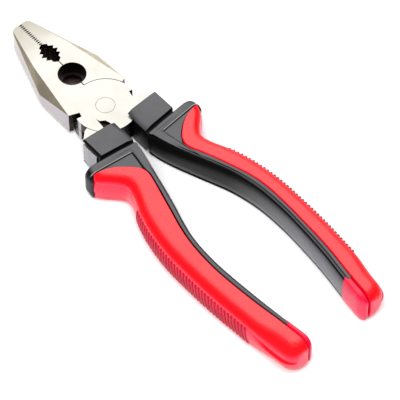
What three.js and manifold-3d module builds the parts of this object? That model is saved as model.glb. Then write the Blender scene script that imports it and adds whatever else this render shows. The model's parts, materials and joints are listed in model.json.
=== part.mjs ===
// Combination (lineman) pliers, 200 mm long, jaws closed, lying flat on their grips.
//
// Millimetres, +Z up. The rest surface is z = 0, +Y runs from the handles to the jaw tips and
// the origin is at the middle of the length. Shapes are drawn in the pivot's own frame, with the
// pivot axis at x = y = 0, and the whole model is then moved along Y.
//
// The two levers cross at a lap joint. The upper lever has the jaw at -X, the upper half of the
// joint disc and the handle at +X. The lower lever is the same forging turned over about the Y axis.

import * as THREE from 'three';
import { mergeVertices } from 'three/addons/utils/BufferGeometryUtils.js';
import Module from 'manifold-3d';

const wasm = await Module();
wasm.setup();

// ---------- driving dimensions ----------

const PIVOT_Y = 43.6; // pivot axis ahead of the middle of the length
const HANDLE_HEIGHT = 16.4; // thickness of the grips, which the tool rests on
const MID_Z = HANDLE_HEIGHT / 2; // parting plane of both levers
const GAP = 0.3; // clearance between neighbouring pieces

const HEAD_THICKNESS = 10.8;
const HEAD_TOP = MID_Z + HEAD_THICKNESS / 2;
const HEAD_BOTTOM = MID_Z - HEAD_THICKNESS / 2;
const DISC_R = 13.7; // joint disc
const RIVET = { head: 3.95, shank: 2.9, straight: 0.7, cone: 2, gap: 0.15 }; // countersunk at both ends
const HORN = [[-7.5, -3], [-7.1, -4.8], [-5.1, -6.1], [-4.4, -8.2], [-4.6, -10], [-8.2, -10], [-7.8, -6.3]];
const HORN_DEPTH = 1.2; // horn-shaped relief in the disc, running under the block

const TIP_Y = 56.4;
const TIP_CORNER = [[5.2, 54], [4.4, 55.5], [3.1, TIP_Y]]; // rounding of a jaw's outer tip corner
const SHOULDER = [15.1, 5.25]; // rear outer corner of a jaw
const WIDEST = [15.8, 24]; // where the side bevels reach deepest
const BEVEL_BREAK = [9.8, 35]; // where the edge of the face changes direction
const BEVEL_TIP = [4.6, 54.8];
const BEVEL_DEPTH = 3.1; // depth of the bevels below the face at the widest point

const JAW_GAP = 0.14; // between the closed jaws
const TOOTH_COUNT = 13; // fine serration at the tip
const TOOTH_DEPTH = 0.62;
const TOOTH_LAND = 0.3; // flat crest of a tooth, as a share of the pitch
const SERRATION_END_Y = 42.2;
const GRIP_Y = [41.9, 30.3]; // both ends of the toothed pipe grip
const GRIP_TEETH = 5;
const GRIP_NARROW = 2.1;
const GRIP_BULGE = 2.35;
// Round relief over the cutting edges, with a smaller step at its floor.
const CUTTER = { y: 21.7, r: 6.05, depth: 6.2, stepR: 4.5, stepDepth: 8.4 };

const JAW_SLOT = { from: 159.5, to: 170.8, r: 11.3 }; // shear slot behind a jaw, degrees round the pivot
const TANG_SLOT = { from: -17.6, to: -4.1, r: 12 }; // its partner in front of the handle

const ROOT_OUTER = [[19.5, -9.2], [20.1, -13], [20.2, -18.6]]; // bare steel flank under the block's cap
const ROOT_INNER_X = 8.2;
const TANG_THICKNESS = 6.6;
const TANG_END_Y = -118;

const BLOCK = { inner: 6.2, outer: 19.5, front: -9, rear: -19.6, height: 13.4 };
const BLOCK_LIP = 3.3; // how near the centre line the block's sloping inner edge reaches
const NECK = { inner: 4.6, outer: 18.6, height: 9.2 };
const GUARD_FRONT_Y = -20.9;
const HANDLE_END_Y = -143.6;
const FRAME_END_Y = -130.5; // the black frame stops here and the red core shows behind it
const CORE_FRONT_Y = -24;
const CORE_HEIGHT = 10.8;

// Both edges of the right handle at its middle height, as [y, x] from front to rear.
const HANDLE_INNER = [
  [-20.9, 2.2], [-31, 2.4], [-40, 5.2], [-52, 9.3], [-63, 12.4], [-75, 14.6], [-88, 15.3],
  [-102, 15], [-117, 13.9], [-132, 12.2], [-140, 11.4],
];
const HANDLE_OUTER = [
  [-20.9, 28], [-22.6, 29.6], [-26, 29.4], [-29.5, 27.4], [-32.5, 24.4], [-35.5, 21.8], [-38.5, 20.7],
  [-43, 22.4], [-52, 26.1], [-62, 28.8], [-74, 30.6], [-88, 30.9], [-102, 30.5], [-117, 29.2],
  [-131, 27.9], [-140, 26.7],
];
// Seam between black frame and red cover on the flat of the grip, as [x, y] from nose to tail.
const SEAM = [
  [33, -23.6], [26, -25.3], [20, -27.8], [15, -31], [11.5, -34.8], [10.7, -38.5], [11.6, -43],
  [14, -50], [17.8, -60], [20.1, -70], [21.3, -80], [21.6, -90], [21.2, -100], [20.3, -110],
  [19.2, -120], [17.9, -130], [15.5, -148],
];
// Edges of the steel tang inside the handle, as [y, x].
const TANG_INNER = [
  [-8, 7], [-20, 7.4], [-38, 8.6], [-50, 12.6], [-62, 16.6], [-75, 19.2], [-90, 20], [-118, 18.2],
];
const TANG_OUTER = [
  [-8, 16.4], [-20, 16], [-38, 15.8], [-50, 19], [-62, 22.8], [-75, 25.2], [-90, 25.8], [-118, 23.6],
];

// ---------- solids ----------

/** A closed three.js geometry as a manifold solid. */
function solid(geometry) {
  const bare = geometry.clone();
  bare.deleteAttribute('normal');
  bare.deleteAttribute('uv');
  const merged = mergeVertices(bare, 1e-4);
  const index = merged.index.array;
  const triangles = [];
  for (let i = 0; i < index.length; i += 3) {
    const [a, b, c] = index.slice(i, i + 3);
    if (a !== b && b !== c && c !== a) triangles.push(a, b, c);
  }
  return new wasm.Manifold(new wasm.Mesh({
    numProp: 3,
    vertProperties: new Float32Array(merged.attributes.position.array),
    triVerts: new Uint32Array(triangles),
  }));
}

/** A manifold solid as a three.js geometry. */
function geometryOf(body) {
  const mesh = body.getMesh();
  const geometry = new THREE.BufferGeometry();
  geometry.setAttribute('position', new THREE.BufferAttribute(mesh.vertProperties, 3));
  geometry.setIndex(new THREE.BufferAttribute(mesh.triVerts, 1));
  geometry.computeVertexNormals();
  return geometry;
}

/** A plan outline raised from z = low to z = high. */
function prism(points, low, high) {
  const shape = new THREE.Shape(points.map(([x, y]) => new THREE.Vector2(x, y)));
  const geometry = new THREE.ExtrudeGeometry(shape, { depth: high - low, bevelEnabled: false });
  return solid(geometry.translate(0, 0, low));
}

/** An upright cylinder about (x, y). */
function column(x, y, radius, low, high, segments = 72) {
  const geometry = new THREE.CylinderGeometry(radius, radius, high - low, segments);
  return solid(geometry.rotateX(Math.PI / 2).translate(x, y, (low + high) / 2));
}

/** A box from its lowest and highest corner. */
function box([x0, y0, z0], [x1, y1, z1]) {
  const geometry = new THREE.BoxGeometry(x1 - x0, y1 - y0, z1 - z0);
  return solid(geometry.translate((x0 + x1) / 2, (y0 + y1) / 2, (z0 + z1) / 2));
}

/** Everything within 100 mm beyond the plane through a, b and c, on the side their normal points to. */
function beyondPlane(a, b, c) {
  const [pa, pb, pc] = [a, b, c].map((p) => new THREE.Vector3(...p));
  const normal = new THREE.Plane().setFromCoplanarPoints(pa, pb, pc).normal;
  const turn = new THREE.Quaternion().setFromUnitVectors(new THREE.Vector3(0, 0, 1), normal);
  const geometry = new THREE.BoxGeometry(200, 200, 100).translate(0, 0, 50);
  return solid(geometry.applyQuaternion(turn).translate(pa.x, pa.y, pa.z));
}

/** The point at a distance and an angle in degrees from the pivot. */
function polar(radius, degrees) {
  const angle = THREE.MathUtils.degToRad(degrees);
  return [radius * Math.cos(angle), radius * Math.sin(angle)];
}

/** A slot cut into the rim of the joint disc, between two angles and out from an inner radius. */
function rimSlot({ from, to, r }) {
  const outside = 24;
  const points = [polar(r, from), polar(outside, from), polar(outside, to), polar(r, to)];
  return prism(points, HEAD_BOTTOM - 1, HEAD_TOP + 1);
}

/** x at a given y on a smooth line through [y, x] pairs that run from front to rear. */
function lineThrough(pairs) {
  return (y) => {
    const last = pairs.length - 1;
    if (y >= pairs[0][0]) return pairs[0][1];
    if (y <= pairs[last][0]) return pairs[last][1];
    const i = pairs.findIndex(([py]) => py <= y) - 1;
    const [y0, x0] = pairs[i];
    const [y1, x1] = pairs[i + 1];
    const slopeAt = (k) => {
      const a = pairs[Math.max(k - 1, 0)];
      const b = pairs[Math.min(k + 1, last)];
      return (b[1] - a[1]) / (b[0] - a[0]);
    };
    const span = y1 - y0;
    const t = (y - y0) / span;
    const ends = (2 * t ** 3 - 3 * t ** 2 + 1) * x0 + (3 * t ** 2 - 2 * t ** 3) * x1;
    const bend = (t ** 3 - 2 * t ** 2 + t) * slopeAt(i) + (t ** 3 - t ** 2) * slopeAt(i + 1);
    return ends + span * bend;
  };
}

const innerAt = lineThrough(HANDLE_INNER);
const outerAt = lineThrough(HANDLE_OUTER);
const tangInnerAt = lineThrough(TANG_INNER);
const tangOuterAt = lineThrough(TANG_OUTER);

/** Evenly spaced numbers from a to b, both included. */
function steps(a, b, count) {
  return Array.from({ length: count + 1 }, (_, i) => a + ((b - a) * i) / count);
}

/** A band between an inner and an outer line, from y = front to y = rear. */
function band(inner, outer, front, rear, count, low, high) {
  const ys = steps(front, rear, count);
  const down = ys.map((y) => [inner(y), y]);
  const up = [...ys].reverse().map((y) => [outer(y), y]);
  return prism([...down, ...up], low, high);
}

// ---------- levers ----------

/** The closing edge of the -X jaw from the tip to the joint, serrations and pipe grip included. */
function closingEdge() {
  const flat = -JAW_GAP / 2;
  const points = [[flat, TIP_Y]];
  const pitch = (TIP_Y - SERRATION_END_Y) / TOOTH_COUNT;
  for (let i = 0; i < TOOTH_COUNT; i += 1) {
    const crest = TIP_Y - (i + TOOTH_LAND) * pitch;
    const next = TIP_Y - (i + 1) * pitch;
    points.push([flat, crest], [flat - TOOTH_DEPTH, (crest + next) / 2], [flat, next]);
  }
  const toothPitch = (GRIP_Y[0] - GRIP_Y[1]) / GRIP_TEETH;
  const halfWidth = (t) => GRIP_NARROW + GRIP_BULGE * Math.sin(Math.PI * t);
  for (let i = 0; i < GRIP_TEETH; i += 1) {
    const y = GRIP_Y[0] - (i + 0.4) * toothPitch;
    points.push([-halfWidth(i / (GRIP_TEETH - 1)), y]);
    if (i < GRIP_TEETH - 1) {
      points.push([-0.62 * halfWidth((i + 0.5) / (GRIP_TEETH - 1)), y - toothPitch / 2]);
    }
  }
  points.push([flat, GRIP_Y[1]], [flat, 0]);
  return points;
}

/** The -X jaw with its side bevels: full thickness, still overlapping the joint. */
function jaw() {
  const outline = [
    ...closingEdge(),
    polar(JAW_SLOT.r - 4, JAW_SLOT.to),
    polar(JAW_SLOT.r, JAW_SLOT.to),
    polar(JAW_SLOT.r, JAW_SLOT.from),
    [-SHOULDER[0], SHOULDER[1]],
    [-WIDEST[0], WIDEST[1]],
    ...TIP_CORNER.map(([x, y]) => [-x, y]),
  ];
  let body = prism(outline, HEAD_BOTTOM, HEAD_TOP);
  for (const up of [1, -1]) {
    const at = ([x, y], depth) => [-x, y, MID_Z + up * (HEAD_THICKNESS / 2 - depth)];
    const faces = [
      [at(SHOULDER, 0), at(BEVEL_BREAK, 0), at(WIDEST, BEVEL_DEPTH)],
      [at(BEVEL_BREAK, 0), at(BEVEL_TIP, 0), at(WIDEST, BEVEL_DEPTH)],
    ];
    for (const [a, b, c] of faces) {
      body = body.subtract(up > 0 ? beyondPlane(a, b, c) : beyondPlane(a, c, b));
    }
  }
  return body;
}

/** The steel tang inside a handle; grow makes the same shape larger all round for its pocket. */
function tang(grow) {
  const half = TANG_THICKNESS / 2 + grow;
  const inner = (y) => tangInnerAt(y) - grow;
  const outer = (y) => tangOuterAt(y) + grow;
  return band(inner, outer, BLOCK.front + 1.2, TANG_END_Y - grow, 22, MID_Z - half, MID_Z + half);
}

/** Full-thickness root of the tang, from its stop shoulder back; grow makes its pocket. */
function tangRoot(grow) {
  const outer = ROOT_OUTER.map(([x, y]) => [x + grow, y]);
  const rear = ROOT_OUTER[ROOT_OUTER.length - 1][1] - grow;
  outer[outer.length - 1][1] = rear;
  const inner = ROOT_INNER_X - grow;
  const points = [
    [4, 0], polar(TANG_SLOT.r, TANG_SLOT.from), polar(15.7, TANG_SLOT.from), ...outer,
    [inner, rear], [inner, -8],
  ];
  return prism(points, HEAD_BOTTOM - grow, HEAD_TOP + grow);
}

/** The rivet's turned form; grow makes the hole for it, which runs out of both faces. */
function rivetForm(grow) {
  const over = grow > 0 ? 1 : 0;
  const { head, shank, straight, cone } = RIVET;
  const half = [
    [0, HEAD_TOP + over], [head + grow, HEAD_TOP + over], [head + grow, HEAD_TOP - straight],
    [shank + grow, HEAD_TOP - straight - cone],
  ];
  const other = [...half].reverse().map(([r, z]) => [r, 2 * MID_Z - z]);
  const profile = [...half, ...other].reverse().map(([r, z]) => new THREE.Vector2(r, z));
  return solid(new THREE.LatheGeometry(profile, 48).rotateX(Math.PI / 2));
}

/** The upper lever without its cutter relief. */
function lever() {
  let body = jaw().add(column(0, 0, DISC_R, HEAD_BOTTOM, HEAD_TOP, 96));
  body = body.add(tangRoot(0)).add(tang(0));
  body = body.subtract(rimSlot(JAW_SLOT)).subtract(rimSlot(TANG_SLOT));
  body = body.subtract(prism(HORN, HEAD_TOP - HORN_DEPTH, HEAD_TOP + 1));
  body = body.subtract(column(0, 0, DISC_R + GAP, HEAD_BOTTOM - 1, MID_Z + GAP / 2, 96));
  return body.subtract(rivetForm(RIVET.gap));
}

/** A shape's partner on the other side: turned over about the Y axis at the parting plane. */
function turnedOver(body) {
  return body.translate([0, 0, -MID_Z]).rotate([0, 180, 0]).translate([0, 0, MID_Z]);
}

/** The round relief that both jaws share, open upwards, with the cutting edges left in its floor. */
function cutterRelief() {
  const step = column(0, CUTTER.y, CUTTER.stepR, HEAD_TOP - CUTTER.stepDepth, HEAD_TOP);
  return column(0, CUTTER.y, CUTTER.r, HEAD_TOP - CUTTER.depth, HEAD_TOP + 1).add(step);
}

// ---------- handle mouldings, right side ----------

const RING = 24;
const STATIONS = 36;
const TAIL_ROUNDING = 6; // length over which the tail's corners are drawn in

/** Outer form of a grip: rounded towards the hand, swept along both lines, flat above and below. */
function gripForm() {
  const geometry = new THREE.CylinderGeometry(1, 1, 1, RING, STATIONS);
  const position = geometry.attributes.position;
  const half = HANDLE_HEIGHT / 2;
  for (let i = 0; i < position.count; i += 1) {
    const radius = Math.min(1, Math.hypot(position.getX(i), position.getZ(i)));
    const angle = Math.atan2(position.getZ(i), position.getX(i));
    const t = 0.5 - position.getY(i);
    const eased = t - 0.12 * Math.sin(2 * Math.PI * t); // closer stations at the guard and the tail
    const y = GUARD_FRONT_Y + (HANDLE_END_Y - GUARD_FRONT_Y) * eased;
    const tail = Math.max(0, (HANDLE_END_Y + TAIL_ROUNDING - y) / TAIL_ROUNDING);
    const draw = 1 - Math.sqrt(1 - 0.96 * tail ** 2);
    const inner = innerAt(y) + 3.6 * draw;
    const outer = outerAt(y) - 5.4 * draw;
    const centre = inner + 0.52 * (outer - inner);
    const power = Math.cos(angle) > 0 ? 2 / 4.2 : 2 / 2.8;
    const reach = Math.cos(angle) > 0 ? outer - centre : centre - inner;
    const x = Math.sign(Math.cos(angle)) * Math.abs(Math.cos(angle)) ** power * reach;
    const z = Math.sign(Math.sin(angle)) * Math.abs(Math.sin(angle)) ** (2 / 3.4) * (half + 0.5);
    const flat = THREE.MathUtils.clamp(z, -half, half);
    position.setXYZ(i, centre + radius * x, y, MID_Z + radius * flat);
  }
  return solid(geometry);
}

/** Everything on the inner side of the seam, which is moved outwards by shift. */
function seamSide(shift) {
  const curve = new THREE.SplineCurve(SEAM.map(([x, y]) => new THREE.Vector2(x, y)));
  const points = curve.getPoints(40).map((p, i) => {
    const tangent = curve.getTangent(i / 40);
    return [p.x - tangent.y * shift, p.y + tangent.x * shift];
  });
  const rear = points[points.length - 1][1];
  return prism([...points, [-6, rear], [-6, -5], [34, -5]], -1, HANDLE_HEIGHT + 1);
}

/** The hard core round the tang; grow makes its pocket. */
function coreBody(grow) {
  const half = CORE_HEIGHT / 2 + grow;
  const inner = (y) => innerAt(y) + 3.8 - grow;
  const outer = (y) => outerAt(y) - 3.6 + grow;
  const front = CORE_FRONT_Y + grow;
  const narrowOuter = (y) => Math.min(outer(y), 17.4 + grow + Math.max(0, -36 - y));
  return band(inner, narrowOuter, front, -138 - grow, 26, MID_Z - half, MID_Z + half);
}

/** Chamfered block at the front of the frame, with its sloping lip over the joint. */
function frontBlock() {
  const half = BLOCK.height / 2;
  const edge = 0.8; // chamfer round the block's top and bottom faces
  const lipDrop = 1.1;
  const section = [
    [BLOCK.inner, half], [BLOCK.outer - edge, half], [BLOCK.outer, half - edge],
    [BLOCK.outer, -half + edge], [BLOCK.outer - edge, -half], [BLOCK.inner, -half],
    [BLOCK_LIP, -half + lipDrop], [BLOCK_LIP, half - lipDrop],
  ];
  const shape = new THREE.Shape(section.map(([x, z]) => new THREE.Vector2(x, z)));
  const length = BLOCK.front - BLOCK.rear;
  const geometry = new THREE.ExtrudeGeometry(shape, { depth: length, bevelEnabled: false });
  return solid(geometry.rotateX(Math.PI / 2).translate(0, BLOCK.front, MID_Z));
}

/** Room for the joint discs, which turn inside and under the front of the frame. */
function jointRoom() {
  return column(0, 0, DISC_R + GAP, HEAD_BOTTOM - GAP, HEAD_TOP + GAP, 96);
}

/** The black moulding: block, neck, hand guard and the band along the inside of the grip. */
function innerFrame(form) {
  const neck = box(
    [NECK.inner, GUARD_FRONT_Y - 1.5, MID_Z - NECK.height / 2],
    [NECK.outer, BLOCK.rear + 0.6, MID_Z + NECK.height / 2],
  );
  const keep = box([-10, FRAME_END_Y, -1], [40, 0, HANDLE_HEIGHT + 1]);
  let body = form.intersect(seamSide(-GAP / 2)).intersect(keep);
  body = body.add(neck).add(frontBlock());
  body = body.subtract(coreBody(GAP)).subtract(tang(GAP)).subtract(tangRoot(GAP));
  return body.subtract(jointRoom());
}

/** The red soft cover on the outside of the grip. */
function gripCover(form) {
  return form.subtract(seamSide(GAP / 2)).subtract(coreBody(GAP));
}

/** The red hard core round the tang, which shows as the inner side of the tail. */
function gripCore(form) {
  const tail = box([-10, HANDLE_END_Y - 1, -1], [40, FRAME_END_Y - GAP, HANDLE_HEIGHT + 1]);
  const shown = form.intersect(seamSide(-GAP / 2)).intersect(tail);
  return coreBody(0).add(shown).subtract(tang(GAP));
}

// ---------- assembly ----------

const steel = { color: 0xd9d4c4, roughness: 0.32, metalness: 0.95 };
const rivetSteel = { color: 0xdedace, roughness: 0.28, metalness: 0.95 };
const blackPlastic = { color: 0x2b2a2c, roughness: 0.42, metalness: 0 };
const redCover = { color: 0xe8262c, roughness: 0.5, metalness: 0 };
const redCore = { color: 0xd41f2a, roughness: 0.35, metalness: 0 };

const model = new THREE.Group();
model.position.y = PIVOT_Y;

/** Adds a named piece to the model. */
function piece(name, body, finish) {
  const mesh = new THREE.Mesh(geometryOf(body), new THREE.MeshStandardMaterial(finish));
  mesh.name = name;
  model.add(mesh);
}

const forging = lever();
const form = gripForm();
const frame = innerFrame(form);
const cover = gripCover(form);
const core = gripCore(form);

piece('upper_lever', forging.subtract(cutterRelief()), steel);
piece('lower_lever', turnedOver(forging).subtract(cutterRelief()), steel);
piece('pivot_rivet', rivetForm(0), rivetSteel);
piece('right_handle_core', core, redCore);
piece('left_handle_core', turnedOver(core), redCore);
piece('right_inner_frame', frame, blackPlastic);
piece('left_inner_frame', turnedOver(frame), blackPlastic);
piece('right_grip_cover', cover, redCover);
piece('left_grip_cover', turnedOver(cover), redCover);

export default model;
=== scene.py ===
# Lineman pliers: the visual model on the CAD frame. Metres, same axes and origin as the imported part.
import json
import math

import bmesh
import bpy
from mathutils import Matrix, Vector


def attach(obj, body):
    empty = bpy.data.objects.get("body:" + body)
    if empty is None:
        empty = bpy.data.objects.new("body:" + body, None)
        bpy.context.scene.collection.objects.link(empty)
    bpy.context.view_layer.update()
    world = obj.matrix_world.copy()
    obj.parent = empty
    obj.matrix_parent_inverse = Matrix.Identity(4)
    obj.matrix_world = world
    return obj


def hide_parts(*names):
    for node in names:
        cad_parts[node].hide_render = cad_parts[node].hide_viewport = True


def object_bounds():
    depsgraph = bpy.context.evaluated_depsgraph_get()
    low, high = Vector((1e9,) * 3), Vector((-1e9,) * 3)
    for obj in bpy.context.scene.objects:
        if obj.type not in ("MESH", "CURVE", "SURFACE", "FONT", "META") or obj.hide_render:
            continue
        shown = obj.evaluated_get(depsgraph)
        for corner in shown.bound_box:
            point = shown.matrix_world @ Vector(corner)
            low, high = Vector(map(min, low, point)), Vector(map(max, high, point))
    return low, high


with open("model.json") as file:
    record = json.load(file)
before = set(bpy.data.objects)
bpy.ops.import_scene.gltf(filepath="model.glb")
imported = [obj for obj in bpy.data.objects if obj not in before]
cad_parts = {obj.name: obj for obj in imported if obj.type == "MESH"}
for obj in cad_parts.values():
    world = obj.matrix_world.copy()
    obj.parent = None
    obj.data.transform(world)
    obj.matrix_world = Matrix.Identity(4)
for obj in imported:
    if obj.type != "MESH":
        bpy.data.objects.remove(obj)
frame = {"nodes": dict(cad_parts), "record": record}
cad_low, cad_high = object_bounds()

MM = 0.001
PIVOT = Vector(frame["record"]["behaviour"]["joints"][0]["pos_m"])
TOP = (cad_high[2] - cad_low[2]) / MM  # height of the grips in mm
MID = TOP / 2
BODY = {"right": "upper_half", "left": "lower_half"}

# ---------- lines of the right handle, (y, x) in mm from the pivot, front to rear ----------

OUTER = [
    (-20.9, 27.8), (-22, 29), (-24, 29.4), (-27, 29), (-29.5, 27.3), (-32, 24.9), (-35, 22.1), (-38, 20.6),
    (-43, 21.7), (-52, 25.5), (-62, 28.2), (-74, 29.9), (-88, 30.2), (-102, 29.9), (-116, 28.9),
    (-130, 27.8), (-143.6, 26.1),
]
# Inner edge of the flat top, which differs between the two handles.
STRIP = {
    "right": [
        (-20.9, 3.4), (-28, 4.5), (-36, 6.8), (-44, 9.8), (-52, 13), (-60, 16), (-68, 18), (-76, 19.2),
        (-86, 19.6), (-96, 19.3), (-114, 17.7), (-130, 15.3), (-143.6, 13.6),
    ],
    "left": [
        (-20.9, 3.4), (-28, 4.3), (-36, 6.3), (-44, 8.4), (-52, 10.5), (-60, 12.8), (-68, 15.3),
        (-76, 17.2), (-86, 18.1), (-96, 18.1), (-114, 16.9), (-130, 15.3), (-143.6, 13.6),
    ],
}
# Seam between the black frame and the red cover, alike on both handles round the nose.
SEAM_NOSE = [(-25.6, 33), (-25.9, 27.3), (-26.5, 23.3), (-27.6, 20.2), (-29.5, 17), (-33.4, 12.7)]
SEAM = {
    "right": SEAM_NOSE + [
        (-36, 11.1), (-38.5, 10.6), (-41, 11.1), (-45, 12.8), (-52, 15.5), (-60, 18.2), (-68, 20.5),
        (-76, 21.6), (-86, 21.7), (-96, 21.3), (-114, 20), (-130, 17.7), (-143.6, 16.2),
    ],
    "left": SEAM_NOSE + [
        (-36, 10.5), (-38.5, 9.9), (-41, 10.1), (-45, 11.1), (-52, 13.1), (-60, 15.4), (-68, 17.7),
        (-76, 19.4), (-86, 20.4), (-96, 20.5), (-114, 19.1), (-130, 17.1), (-143.6, 15.9),
    ],
}
NOSE = [(-25.9, 27.5), (-26.2, 28.2), (-26.8, 28.75), (-27.6, 28.8)]  # outer line of the cover's nose
FRONT = -20.9  # of the guard
FRONT_TILT = 0.1  # the guard stands square to the handle, which is splayed outwards
BAND_END = -130.9  # the black band stops here and the core shows behind it
TEETH, TEETH_LENGTH = 13, 14.2  # of the fine serration
TIP = 56.4
CUTTER_Y = 21.7  # middle of the round relief over the cutters
RIB_FRONT, RIB_REAR, RIB_COUNT = -49.5, -120, 39
BLOCK_HALF = 6.7  # half the height of the CAD block in front of the guard
BLOCK_REAR = -19.6  # of the CAD block
BLOCK_RAISE = 0.7  # of the visual block over the CAD one, above and below
NECK_HALF = 4.6  # half the height of the CAD neck between block and guard
NECK_GROWTH = 1.15  # in height
WALL_BULGE = 1.2  # of the inner wall, at mid height
TAIL = -143.55
TAIL_LENGTH = 5.5  # of the rounded end
SEAM_GAP = 0.17
CORNER_X, CORNER_Z, CROWN = 4.9, 4.3, 0.6  # rounding of the cover towards the hand


def line(pairs):
    """x at a given y on a smooth line through (y, x) pairs that run from front to rear."""
    ys = [p[0] for p in pairs]
    xs = [p[1] for p in pairs]
    last = len(pairs) - 1

    def slope(k):
        a, b = max(k - 1, 0), min(k + 1, last)
        return (xs[b] - xs[a]) / (ys[b] - ys[a])

    def at(y):
        if y >= ys[0]:
            return xs[0]
        if y <= ys[-1]:
            return xs[-1]
        i = next(k for k in range(last) if ys[k + 1] <= y)
        span = ys[i + 1] - ys[i]
        t = (y - ys[i]) / span
        return (
            (2 * t**3 - 3 * t**2 + 1) * xs[i]
            + (t**3 - 2 * t**2 + t) * span * slope(i)
            + (3 * t**2 - 2 * t**3) * xs[i + 1]
            + (t**3 - t**2) * span * slope(i + 1)
        )

    return at


outer_at, nose_at = line(OUTER), line(NOSE)
strip_at = {side: line(pairs) for side, pairs in STRIP.items()}
seam_at = {side: line(pairs) for side, pairs in SEAM.items()}


def smooth(t):
    """0 below 0, 1 above 1, and a smooth step between."""
    t = max(0.0, min(1.0, t))
    return t * t * (3 - 2 * t)


def steps(a, b, count):
    """count + 1 evenly spaced numbers from a to b."""
    return [a + (b - a) * i / count for i in range(count + 1)]


def arc(cx, cz, rx, rz, start, end, count):
    """Points on an ellipse between two angles in degrees."""
    turns = [math.radians(a) for a in steps(start, end, count)]
    return [(cx + rx * math.cos(a), cz + rz * math.sin(a)) for a in turns]


def closed_ring(upper):
    """A whole section from its upper half, which runs from mid height to mid height."""
    lower = [(x, TOP - z) for x, z in reversed(upper[1:-1])]
    return upper + lower


# ---------- meshes ----------


def placed(x, y, z, side):
    """A point of the right handle, or its partner on the left, in the row frame."""
    y += FRONT_TILT * (x - 26) * smooth((y + 25.5) / 3)
    if side == "left":
        x, z = -x, TOP - z
    return (PIVOT.x + x * MM, PIVOT.y + y * MM, z * MM)


def add_loft(bm, rings, side, slot=0):
    """Skins a list of rings of (x, y, z), which run from front to rear, and closes both ends."""
    grid = [[bm.verts.new(placed(*p, side)) for p in ring] for ring in rings]
    count = len(grid[0])
    faces = []
    for a, b in zip(grid, grid[1:]):
        for i in range(count):
            j = (i + 1) % count
            faces.append(bm.faces.new((a[i], a[j], b[j], b[i])))
    faces.append(bm.faces.new(tuple(reversed(grid[0]))))
    faces.append(bm.faces.new(tuple(grid[-1])))
    for face in faces:
        face.material_index = slot
        face.smooth = True


def finish_mesh(bm, name, materials):
    """Turns a bmesh into a linked object with outward faces and crisp corners kept."""
    bmesh.ops.recalc_face_normals(bm, faces=bm.faces[:])
    mesh = bpy.data.meshes.new(name)
    bm.to_mesh(mesh)
    bm.free()
    for material in materials:
        mesh.materials.append(material)
    obj = bpy.data.objects.new(name, mesh)
    bpy.context.scene.collection.objects.link(obj)
    mesh.set_sharp_from_angle(angle=math.radians(38))
    return obj


# ---------- sections ----------


def cover_ring(y, side):
    """Section of the red cover: rounded towards the hand, a small round at the seam."""
    wall = min(outer_at(y), nose_at(y)) if y > NOSE[-1][0] else outer_at(y)
    seam = seam_at[side](y) + SEAM_GAP
    width = max(0.4, wall - seam)
    fuller = smooth((-121 - y) / 14)  # the cover grows rounder towards its tail, behind the ribs
    big = min(CORNER_X + 1.4 * fuller, 0.62 * width)
    tall = min(CORNER_Z, 0.9 * big + 0.4) + 2.7 * fuller
    crown = min(CROWN, 0.08 * width) + 0.4 * fuller
    small = min(0.5, 0.2 * width)
    left = seam + small
    right = wall - crown - big
    upper = [(wall - crown * t * t, MID + (MID - tall) * t) for t in steps(0, 1, 6)]
    upper += arc(right, TOP - tall, big, tall, 0, 90, 12)[1:]
    upper += [(right + (left - right) * t, TOP) for t in steps(0, 1, 8)[1:]]
    upper += arc(left, TOP - small, small, small, 90, 180, 5)[1:]
    upper += [(seam, TOP - small - (MID - small) * t) for t in steps(0, 1, 4)[1:]]
    return [(x, y, z) for x, z in closed_ring(upper)]


def ridge_y(x):
    """The ridge across the top of the hand guard."""
    return -26.9 + 0.1 * (x - 8.0)


def bead(distance):
    """A fine raised line, as a share of its full height."""
    return math.exp(-((distance / 0.28) ** 2))


def top_drop(x, y):
    """How far the top of the frame lies below the highest line of the guard."""
    ahead = y - ridge_y(x)
    strip_edge = 8.3 + 0.17 * (-28 - y)
    inward = x - strip_edge
    drop = 0.85 * max(0.0, ahead) / (FRONT - ridge_y(x))
    sunk = 0.6 * smooth(min(-ahead, inward) / 0.5) * smooth((y + 41) / 4)
    raised = 0.0
    if x > strip_edge - 0.4:
        raised = bead(ahead)
    if ahead < 0.4:
        raised = max(raised, bead(inward))
    fade = smooth((y + 52) / 12)
    return drop + sunk + 0.22 * (1 - raised) * fade


def frame_ring(y, side, inset=0.0):
    """Section of the black frame: top strip, shadow groove, and the bulged inner wall."""
    wall = outer_at(y) - 0.15
    seam = seam_at[side](y) - SEAM_GAP
    free = smooth((seam - wall + 1.2) / 2.4)
    edge = min(seam, wall) - inset
    near = strip_at[side](y) + inset
    top = TOP - inset
    round_x = min(0.3 + 3.6 * free, 0.45 * (edge - near))
    round_z = 0.3 + 3.9 * free
    upper = [(edge, MID + (top - MID - round_z) * t) for t in steps(0, 1, 4)]
    upper += arc(edge - round_x, top - round_z, round_x, round_z, 0, 90, 8)[1:]
    lip = 0.28
    tilt = 0.35
    right = edge - round_x
    left = near + lip
    for t in steps(0, 1, 60)[1:]:
        upper.append((right + (left - right) * t, top - tilt * smooth(2.2 * t - 1.2)))
    lip_top = top - tilt
    upper += arc(left, lip_top - lip, lip, lip, 90, 180, 4)[1:]
    upper += [(near, lip_top - 0.6), (near + 0.5, lip_top - 0.9), (near + 0.3, lip_top - 1.4)]
    for t in steps(1, 0, 14):
        upper.append((near - WALL_BULGE * (1 - t**3), MID + (lip_top - 1.7 - MID) * t))
    ring = []
    for x, z in closed_ring(upper):
        scale = 1 - top_drop(x, y) / MID if y > -52 else 1
        ring.append((x, y, MID + (z - MID) * scale))
    return ring


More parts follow.
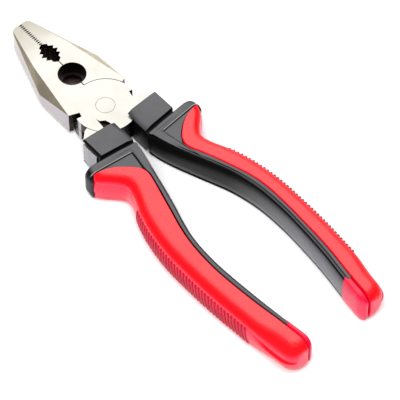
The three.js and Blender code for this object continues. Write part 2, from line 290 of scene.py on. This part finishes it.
def lip_ring(y):
    """Section of the frame's rim, which runs on round the outer side of the cover's nose."""
    wall = outer_at(y) - 0.05
    near = min(nose_at(y) + SEAM_GAP, wall - 0.12)
    low = max(-1.0, (near - wall + CORNER_X) / CORNER_X)
    turn = math.degrees(math.acos(min(1.0, low)))
    upper = [(wall, MID + (MID - CORNER_Z) * t) for t in steps(0, 1, 4)]
    upper += arc(wall - CORNER_X, TOP - CORNER_Z, CORNER_X, CORNER_Z, 0, turn, 8)[1:]
    top = upper[-1][1]
    upper += [(near, MID + (top - MID) * t) for t in steps(1, 0, 5)[1:]]
    return [(x, y, z) for x, z in closed_ring(upper)]


def core_ring(y, side):
    """Section of the red core where it shows behind the black frame."""
    edge = seam_at[side](y) - 0.35
    near = strip_at[side](y)
    top = TOP - 0.15
    tall = 0.9
    right = edge - min(tall, 0.45 * (edge - near))
    left = near + 0.8
    upper = [(edge, MID + (top - MID - tall) * t) for t in steps(0, 1, 4)]
    upper += arc(right, top - tall, edge - right, tall, 0, 90, 6)[1:]
    upper += [(right + (left - right) * t, top) for t in steps(0, 1, 6)[1:]]
    for t in steps(0.97, 0, 14):
        upper.append((near - WALL_BULGE * (1 - t**3), MID + (top - MID) * t))
    return [(x, y, z) for x, z in closed_ring(upper)]


def rounded_end(section, side, front, rear, inner, outer, drop):
    """Rings for a rounded end from y = front to y = rear, drawn in at both sides and at the top."""
    rings = []
    for angle in steps(0, 90, 16)[1:]:
        a = math.radians(angle)
        y = front + (rear - front) * math.sin(a)
        away = 1 - math.cos(a)
        ring = section(y, side)
        low = min(p[0] for p in ring)
        high = max(p[0] for p in ring)
        fx = 1 - away * (inner + outer) / (high - low)
        fz = 1 - away * drop / MID
        start = low + away * inner
        rings.append([(start + (x - low) * fx, y, MID + (z - MID) * fz) for x, _, z in ring])
    return rings


# ---------- materials ----------


class Nodes:
    """A new material's node tree with short helpers."""

    def __init__(self, name):
        self.material = bpy.data.materials.new(name)
        self.material.use_nodes = True
        self.tree = self.material.node_tree
        self.shader = self.tree.nodes["Principled BSDF"]
        self.coords = self.tree.nodes.new("ShaderNodeTexCoord")

    def link(self, source, target):
        self.tree.links.new(source, target)

    def stretched(self, scale):
        node = self.tree.nodes.new("ShaderNodeMapping")
        node.inputs["Scale"].default_value = scale
        self.link(self.coords.outputs["Object"], node.inputs["Vector"])
        return node.outputs["Vector"]

    def noise(self, scale, detail, vector=None):
        node = self.tree.nodes.new("ShaderNodeTexNoise")
        node.inputs["Scale"].default_value = scale
        node.inputs["Detail"].default_value = detail
        node.inputs["Roughness"].default_value = 0.55
        self.link(vector or self.coords.outputs["Object"], node.inputs["Vector"])
        return node.outputs["Fac"]

    def span(self, value, low, high, to_low, to_high):
        node = self.tree.nodes.new("ShaderNodeMapRange")
        for key, number in (("From Min", low), ("From Max", high), ("To Min", to_low), ("To Max", to_high)):
            node.inputs[key].default_value = number
        self.link(value, node.inputs["Value"])
        return node.outputs["Result"]

    def maths(self, kind, a, b):
        node = self.tree.nodes.new("ShaderNodeMath")
        node.operation = kind
        for socket, value in zip(node.inputs, (a, b)):
            if isinstance(value, (int, float)):
                socket.default_value = value
            else:
                self.link(value, socket)
        return node.outputs["Value"]

    def mix(self, factor, a, b):
        node = self.tree.nodes.new("ShaderNodeMix")
        node.data_type = "RGBA"
        self.link(factor, node.inputs["Factor"])
        for socket, value in ((node.inputs[6], a), (node.inputs[7], b)):
            if isinstance(value, tuple):
                socket.default_value = (*value, 1)
            else:
                self.link(value, socket)
        return node.outputs[2]

    def bump(self, height, strength, distance, normal=None):
        node = self.tree.nodes.new("ShaderNodeBump")
        node.inputs["Strength"].default_value = strength
        node.inputs["Distance"].default_value = distance
        self.link(height, node.inputs["Height"])
        if normal is not None:
            self.link(normal, node.inputs["Normal"])
        return node.outputs["Normal"]

    def facing_up(self):
        """How level a face is, from its own normal: 1 on the flats above and below."""
        node = self.tree.nodes.new("ShaderNodeSeparateXYZ")
        self.link(self.coords.outputs["Normal"], node.inputs[0])
        return self.size_of(node.outputs["Z"])

    def position(self):
        """x and y of a point from the pivot and z from mid height, all in mm."""
        node = self.tree.nodes.new("ShaderNodeSeparateXYZ")
        self.link(self.coords.outputs["Object"], node.inputs[0])
        places = []
        for key, centre in (("X", PIVOT.x), ("Y", PIVOT.y), ("Z", MID * MM)):
            away = self.maths("SUBTRACT", node.outputs[key], centre)
            places.append(self.maths("DIVIDE", away, MM))
        return places

    def size_of(self, value):
        """A value without its sign."""
        return self.maths("ABSOLUTE", value, 0.0)

    def above(self, value, limit, soft=0.1):
        """1 above a limit and 0 below it, with a soft edge."""
        return self.span(value, limit, limit + soft, 0.0, 1.0)

    def below(self, value, limit, soft=0.1):
        """1 below a limit and 0 above it, with a soft edge."""
        return self.span(value, limit - soft, limit, 1.0, 0.0)

    def within(self, value, low, high, soft=0.1):
        """1 between two values and 0 outside them, with soft edges."""
        return self.all_of(self.above(value, low, soft), self.below(value, high, soft))

    def all_of(self, first, *others):
        """Where every mask holds."""
        for other in others:
            first = self.maths("MULTIPLY", first, other)
        return first

    def any_of(self, first, *others):
        """Where one mask or another holds."""
        for other in others:
            first = self.maths("MAXIMUM", first, other)
        return first

    def to_shader(self, key, value):
        self.link(value, self.shader.inputs[key])


def cutter_mask(m, x, y):
    """The round relief over the cutters."""
    ahead = m.maths("SUBTRACT", y, CUTTER_Y)
    squares = m.maths("ADD", m.maths("MULTIPLY", x, x), m.maths("MULTIPLY", ahead, ahead))
    return m.span(squares, 6.1**2, 6.2**2, 1.0, 0.0)


def tooth_gap_shade_mask(m, across, y):
    """The gaps between the fine teeth at the tip, painted dark as shade, as a row of dots along the closed
    jaws.
    """
    beat = m.maths("MULTIPLY", m.maths("SUBTRACT", TIP, y), TEETH / TEETH_LENGTH)
    from_gap = m.size_of(m.maths("SUBTRACT", m.maths("FRACT", beat, 0.0), 0.65))
    behind_teeth = TIP - TEETH_LENGTH - 0.1
    return m.all_of(m.below(from_gap, 0.23, 0.06), m.below(across, 0.9), m.above(y, behind_teeth))


def recess_shade_mask(m, not_level, cutter):
    """Painted shade on the insides of every cut in the steel and between the layers behind the pivot, and
    the dark line between the closed jaws.
    """
    x, y, z = m.position()
    across = m.size_of(x)
    depth = m.size_of(z)
    reach = m.span(y, 42.0, 42.2, 4.8, 0.9)  # the pipe grip is wide, the serration narrow
    closing_edge = m.all_of(m.maths("LESS_THAN", across, reach), m.above(y, 27.5, 0.5), m.below(y, 56.3))
    rim_slot = m.all_of(m.within(y, 1.0, 6.0, 0.2), m.above(across, 10.4, 0.2), m.below(across, 15.05))
    walls = m.all_of(m.any_of(cutter, closing_edge, rim_slot), not_level)
    notch = m.all_of(m.within(y, -4.7, -0.7), m.within(across, 11.3, 15.9))
    notch = m.all_of(notch, m.any_of(not_level, m.below(depth, 5.2)))
    parting = m.all_of(m.below(across, 0.25, 0.05), m.within(y, 13.9, 30.5), m.above(depth, 5.2))
    horn = m.all_of(m.within(depth, 3.0, 5.2), m.below(across, 9.5), m.below(y, -2.4))
    return m.any_of(walls, notch, tooth_gap_shade_mask(m, across, y), parting, horn)


def steel_material(name, flat, side):
    """Ground flats and darker, yellower sloped sides, a tip that darkens, upright faces painted grey as
    shade, and painted shade in the cutter relief, the pipe grip and the other cuts.
    """
    m = Nodes(name)
    up = m.facing_up()
    x, y, z = m.position()
    across = m.size_of(x)
    not_level = m.span(up, 0.93, 0.985, 1.0, 0.0)
    sloped = m.all_of(not_level, m.span(up, 0.25, 0.5, 0.0, 1.0))
    upright = m.span(up, 0.15, 0.3, 1.0, 0.0)
    stains = m.noise(95, 6)
    fine = m.noise(1400, 3)
    flat_tone = m.mix(m.span(stains, 0.38, 0.66, 0.0, 1.0), flat, tuple(0.92 * c for c in flat))
    side_tone = m.mix(m.span(stains, 0.35, 0.65, 0.0, 1.0), side, tuple(0.72 * c for c in side))
    # Upright steel faces are painted grey as shade, darker behind the pivot where the disc's rim lies in
    # shadow.
    upright_shade_tone = m.mix(m.below(y, -1.5, 2.5), (0.43, 0.4, 0.42), (0.28, 0.27, 0.285))
    # The upright faces inside, between the handles behind the pivot, are painted near black as shade.
    inner_flank_shade = m.all_of(m.below(across, 12.5, 1.0), m.below(y, -7.5, 1.0))
    upright_shade_tone = m.mix(inner_flank_shade, upright_shade_tone, (0.02, 0.018, 0.02))
    tone = m.mix(sloped, flat_tone, side_tone)
    tone = m.mix(upright, tone, upright_shade_tone)
    # The steel darkens towards the tip.
    tip_darkening = m.span(y, 36.0, 58.0, 0.0, 0.75)
    tone = m.mix(tip_darkening, tone, (0.46, 0.41, 0.31))
    cutter = cutter_mask(m, x, y)
    # The floor inside the cutter relief is painted a dull reddish grey: painted shade with a painted
    # reflection of the red handles.
    tone = m.mix(m.all_of(cutter, m.below(z, 5.2, 0.2)), tone, (0.4, 0.31, 0.29))
    # Painted shade in the cuts, slots, notches and between the layers, and the dark line between the jaws.
    tone = m.mix(recess_shade_mask(m, not_level, cutter), tone, (0.03, 0.018, 0.016))
    m.to_shader("Base Color", tone)
    m.shader.inputs["Metallic"].default_value = 1.0
    rough = m.maths("ADD", m.span(stains, 0.3, 0.7, 0.25, 0.36), m.span(fine, 0.3, 0.7, -0.03, 0.05))
    m.to_shader("Roughness", m.maths("ADD", rough, m.maths("MULTIPLY", sloped, 0.2)))
    grinding = m.noise(900, 3, m.stretched((1.0, 0.06, 1.0)))
    normal = m.bump(grinding, 0.12, 0.00006)
    m.to_shader("Normal", m.bump(stains, 0.1, 0.0002, normal))
    return m.material


def plastic_nodes(name, base, rough, grain, strength, index=1.5):
    """Nodes of a moulded plastic: fine grain, faint mottling and uneven gloss."""
    m = Nodes(name)
    m.shader.inputs["IOR"].default_value = index
    mottling = m.noise(140, 5)
    fine = m.noise(grain, 3)
    m.tone = m.mix(m.span(mottling, 0.3, 0.7, 0.0, 1.0), base, tuple(0.86 * c for c in base))
    m.to_shader("Base Color", m.tone)
    gloss = m.span(mottling, 0.3, 0.7, rough - 0.04, rough + 0.06)
    m.to_shader("Roughness", m.maths("ADD", gloss, m.span(fine, 0.3, 0.7, -0.03, 0.03)))
    normal = m.bump(fine, strength, 0.00012)
    m.to_shader("Normal", m.bump(mottling, 0.08, 0.0003, normal))
    return m


def cover_material(name, base, index):
    """Soft red cover: satin flats, rounded edges that hardly shine, and upright walls painted a darker,
    bluer red as shade and floor reflection.
    """
    m = plastic_nodes(name, base, 0.3, 1500, 0.07, index)
    up = m.facing_up()
    flat = m.span(up, 0.8, 1.0, 0.0, 1.0)
    # Upright walls are painted a darker, bluer red, standing in for their shade and the floor's reflection.
    wall = m.span(up, 0.15, 0.45, 0.4, 0.0)
    m.to_shader("Base Color", m.mix(wall, m.tone, (0.82, 0.01, 0.11)))
    m.to_shader("Specular IOR Level", m.span(m.any_of(flat, wall), 0.0, 1.0, 0.03, 0.5))
    return m.material


def frame_material():
    """Black moulding: satin flats, with edges, slopes and grooves painted near black as shade, a painted
    floor reflection on the inner wall towards the rear, and a painted highlight along the guard's ridge.
    """
    m = plastic_nodes("black_plastic", (0.055, 0.052, 0.055), 0.3, 1800, 0.3, 1.8)
    up = m.facing_up()
    x, y, z = m.position()
    across = m.size_of(x)
    depth = m.size_of(z)
    flat = m.span(up, 0.8, 0.96, 0.0, 1.0)
    wall = m.span(up, 0.6, 0.68, 1.0, 0.0)
    # Painted reflection of the floor: the inner wall is lighter towards the rear, and towards the front it
    # stays black as painted shade.
    rear_wall_sheen = m.all_of(wall, m.span(y, -100.0, -60.0, 1.0, 0.0))
    tone = m.mix(rear_wall_sheen, m.tone, (0.05, 0.048, 0.058))
    # A painted highlight along the ridge of the guard.
    ridge_line = m.maths("ADD", m.maths("MULTIPLY", across, 0.1), -27.7)
    from_ridge = m.size_of(m.maths("SUBTRACT", y, ridge_line))
    ridge = m.all_of(m.above(across, 8.2, 0.6), m.above(depth, 6.0, 1.0))
    ridge = m.all_of(ridge, m.span(from_ridge, 0.1, 0.3, 0.9, 0.0))
    tone = m.mix(ridge, tone, (0.4, 0.39, 0.38))
    grip = m.below(y, -26.0, 4.0)
    outer_level = m.any_of(m.above(depth, 5.8, 0.5), grip)  # between block and guard only the tops are lit
    # Painted shade in the groove at the neck between block and guard.
    groove = m.all_of(m.within(depth, 5.7, 7.1, 0.2), grip)
    lit = m.all_of(m.any_of(flat, rear_wall_sheen, ridge), outer_level, m.maths("SUBTRACT", 1.0, groove))
    # Everything not lit is painted near black as shade: edges, slopes, walls and grooves.
    m.to_shader("Base Color", m.mix(lit, (0.004, 0.004, 0.004), tone))
    m.to_shader("Specular IOR Level", m.span(lit, 0.0, 1.0, 0.07, 0.5))
    return m.material


steel = steel_material("forged_steel", (0.88, 0.85, 0.77), (0.88, 0.77, 0.56))
rivet_steel = steel_material("rivet_steel", (0.88, 0.85, 0.78), (0.5, 0.47, 0.4))
black = frame_material()
red = cover_material("red_soft_cover", (0.96, 0.006, 0.013), 1.9)
rib_red = plastic_nodes("red_soft_ribs", (0.5, 0.002, 0.03), 0.45, 1500, 0.15).material
# The core is painted a pinker red than the cover, for the light on its upright inner face; it is the same
# red as the cover.
core_red = cover_material("red_core_plastic", (0.88, 0.008, 0.045), 1.7)

# ---------- CAD steel, with its edges eased ----------

for node, material, width in (
    ("upper_lever", steel, 0.04), ("lower_lever", steel, 0.04), ("pivot_rivet", rivet_steel, 0.07),
):
    obj = frame["nodes"][node]
    obj.data.materials.clear()
    obj.data.materials.append(material)
    bevel = obj.modifiers.new("eased edges", "BEVEL")
    bevel.width = width * MM
    bevel.segments = 2
    bevel.limit_method = "ANGLE"
    bevel.angle_limit = math.radians(28)

# ---------- handles ----------


def square_up(vert, cut_y):
    """Turns the block's ends to face along the splayed handle, raises it, and grows the neck."""
    y = (vert.co.y - PIVOT.y) / MM
    above = vert.co.z / MM - MID
    rear = y < BLOCK_REAR + 0.6
    if rear and abs(above) < NECK_HALF + 0.05:
        vert.co.z = (MID + above * NECK_GROWTH) * MM
        if abs(vert.co.x) < 5 * MM:
            vert.co.x *= 0.75
    elif y > BLOCK_REAR - 0.1 and abs(above) > BLOCK_HALF - 1.2:
        vert.co.z += math.copysign(BLOCK_RAISE, above) * MM
    if y < cut_y + 0.1:
        vert.co.y -= 2.6 * MM  # the neck runs on into the guard
    elif rear:
        vert.co.y += 0.11 * (abs(vert.co.x) - 23 * MM)
    else:
        vert.co.y += 0.06 * (abs(vert.co.x) - 19.5 * MM)


def front_part(node, cut_y):
    """The CAD frame's block and neck, cut off flat in front of the hand guard."""
    bm = bmesh.new()
    bm.from_mesh(frame["nodes"][node].data)
    bmesh.ops.remove_doubles(bm, verts=bm.verts[:], dist=1e-6)
    geometry = bm.verts[:] + bm.edges[:] + bm.faces[:]
    cut = bmesh.ops.bisect_plane(
        bm, geom=geometry, plane_co=(0, PIVOT.y + cut_y * MM, 0), plane_no=(0, -1, 0), clear_outer=True,
    )
    rim = [e for e in cut["geom_cut"] if isinstance(e, bmesh.types.BMEdge)]
    bmesh.ops.edgenet_fill(bm, edges=rim)
    bmesh.ops.dissolve_limit(bm, angle_limit=math.radians(1), verts=bm.verts[:], edges=bm.edges[:])
    for vert in bm.verts:
        square_up(vert, cut_y)
    sharp = [e for e in bm.edges if len(e.link_faces) == 2 and e.calc_face_angle() > math.radians(25)]
    bmesh.ops.bevel(
        bm, geom=sharp, offset=0.28 * MM, segments=3, profile=0.5, affect="EDGES", clamp_overlap=True,
    )
    return bm


def build_frame(side):
    """Block, guard and inner band of one handle."""
    node = f"{side}_inner_frame"
    bm = front_part(node, FRONT + 0.05)
    for face in bm.faces:
        face.smooth = True
    turns = [math.radians(a) for a in steps(0, 90, 6)]
    rings = [frame_ring(FRONT - 0.7 * (1 - math.cos(a)), side, 0.7 * (1 - math.sin(a))) for a in turns]
    stations = steps(FRONT - 0.85, -25.6, 26) + steps(-25.62, -26.2, 12)
    stations += steps(-26.3, -40, 80) + steps(-40.5, BAND_END, 150)
    rings += [frame_ring(y, side) for y in stations]
    add_loft(bm, rings, side)
    add_loft(bm, [lip_ring(y) for y in steps(-25.55, -27.1, 16)], side)
    obj = finish_mesh(bm, f"{side}_frame_moulding", [black])
    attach(obj, BODY[side])
    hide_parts(node)


def wall_inset(z):
    """How far the cover's outer wall lies inside its widest line at a height."""
    away = abs(z - MID)
    straight = MID - CORNER_Z
    if away <= straight:
        return CROWN * (away / straight) ** 2
    turn = min(1.0, (away - straight) / CORNER_Z)
    return CROWN + CORNER_X * (1 - math.sqrt(1 - turn * turn))


def add_rib(bm, y, side):
    """One slightly raked bar across the outer wall of the cover, with round ends."""
    slope = outer_at(y + 0.5) - outer_at(y - 0.5)
    along = Vector((slope, 1, 0)).normalized()
    out = Vector((along.y, -along.x, 0))
    base = Vector((outer_at(y), y, 0))
    rings = []
    for turn in steps(-90, 90, 18):
        u = math.sin(math.radians(turn))
        end = smooth((1 - abs(u)) / 0.16)
        z = MID + 1.2 + 5.4 * u
        ring = []
        for angle in steps(0, 360, 10)[:-1]:
            b = math.radians(angle)
            side_step = 0.52 * (0.15 + 0.85 * end) * math.cos(b) - 0.9 * u
            lift = 0.66 * (0.1 + 0.9 * end) * math.sin(b) - wall_inset(z)
            p = base + along * side_step + out * lift
            ring.append((p.x, p.y, z))
        rings.append(ring)
    add_loft(bm, rings, side, slot=1)


def build_cover(side):
    """Soft cover of one handle with its row of cross ribs."""
    bm = bmesh.new()
    nose = [cover_ring(y, side) for y in steps(-25.97, -30, 40)]
    body = [cover_ring(y, side) for y in steps(-30.4, TAIL + TAIL_LENGTH, 180)]
    tail = rounded_end(cover_ring, side, TAIL + TAIL_LENGTH, TAIL, 0.4, 4.2, 4.4)
    add_loft(bm, nose + body + tail, side)
    for y in steps(RIB_FRONT, RIB_REAR, RIB_COUNT - 1):
        add_rib(bm, y, side)
    obj = finish_mesh(bm, f"{side}_soft_cover", [red, rib_red])
    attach(obj, BODY[side])
    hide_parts(f"{side}_grip_cover")


def build_core(side):
    """The core's tail, behind the end of the black band."""
    bm = bmesh.new()
    front = BAND_END + 1.5
    rings = [core_ring(y, side) for y in steps(front, TAIL + 5.6, 20)]
    rings += rounded_end(core_ring, side, TAIL + 5.6, TAIL + 0.4, 2.4, 0.3, 3.6)
    add_loft(bm, rings, side)
    obj = finish_mesh(bm, f"{side}_core_tail", [core_red])
    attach(obj, BODY[side])
    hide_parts(f"{side}_handle_core")


for side in ("right", "left"):
    build_frame(side)
    build_cover(side)
    build_core(side)

# ---------- stage ----------


def floor_object():
    """A plain pale floor under the tool."""
    bm = bmesh.new()
    bmesh.ops.create_grid(bm, x_segments=4, y_segments=4, size=3.0)
    obj = finish_mesh(bm, "floor", [])
    obj.location.z = -0.00005
    m = Nodes("floor_paper")
    m.shader.inputs["Roughness"].default_value = 0.9
    m.shader.inputs["Specular IOR Level"].default_value = 0.1
    m.to_shader("Base Color", m.mix(m.noise(30, 3), (0.93, 0.925, 0.94), (0.95, 0.945, 0.955)))
    obj.data.materials.append(m.material)
    return obj


floor_object()


def softbox(name, place, target, size, power, shine=True):
    """A square soft light at a place, pointed at a target. Without shine it lights but isn't mirrored."""
    data = bpy.data.lights.new(name, "AREA")
    data.shape = "SQUARE"
    data.size = size
    data.energy = power
    obj = bpy.data.objects.new(name, data)
    obj.visible_glossy = shine
    obj.location = place
    obj.rotation_euler = (Vector(target) - Vector(place)).to_track_quat("-Z", "Y").to_euler()
    bpy.context.scene.collection.objects.link(obj)


softbox("key", (0.55, 0.64, 1.17), (0, 0, 0), 1.75, 10.4)
softbox("fill", (-0.5, -0.4, 1.45), (0, 0, 0), 1.0, 32, shine=False)

world = bpy.data.worlds.new("studio")
bpy.context.scene.world = world
world.use_nodes = True
world.node_tree.nodes["Background"].inputs["Color"].default_value = (0.93, 0.95, 1.0, 1)
world.node_tree.nodes["Background"].inputs["Strength"].default_value = 0.22

# ---------- camera ----------

camera_data = bpy.data.cameras.new("camera")
camera_data.lens = 270
camera_data.sensor_width = 36
camera = bpy.data.objects.new("camera", camera_data)
bpy.context.scene.collection.objects.link(camera)
camera.location = (-0.46433, PIVOT.y - 0.59764, 0.99386)
target = Vector((0.00439, PIVOT.y - 0.05462, 0.0))
camera.rotation_euler = (target - camera.location).to_track_quat("-Z", "Y").to_euler()
camera_data.clip_end = 20
bpy.context.scene.camera = camera
bpy.context.scene.view_settings.view_transform = "Standard"
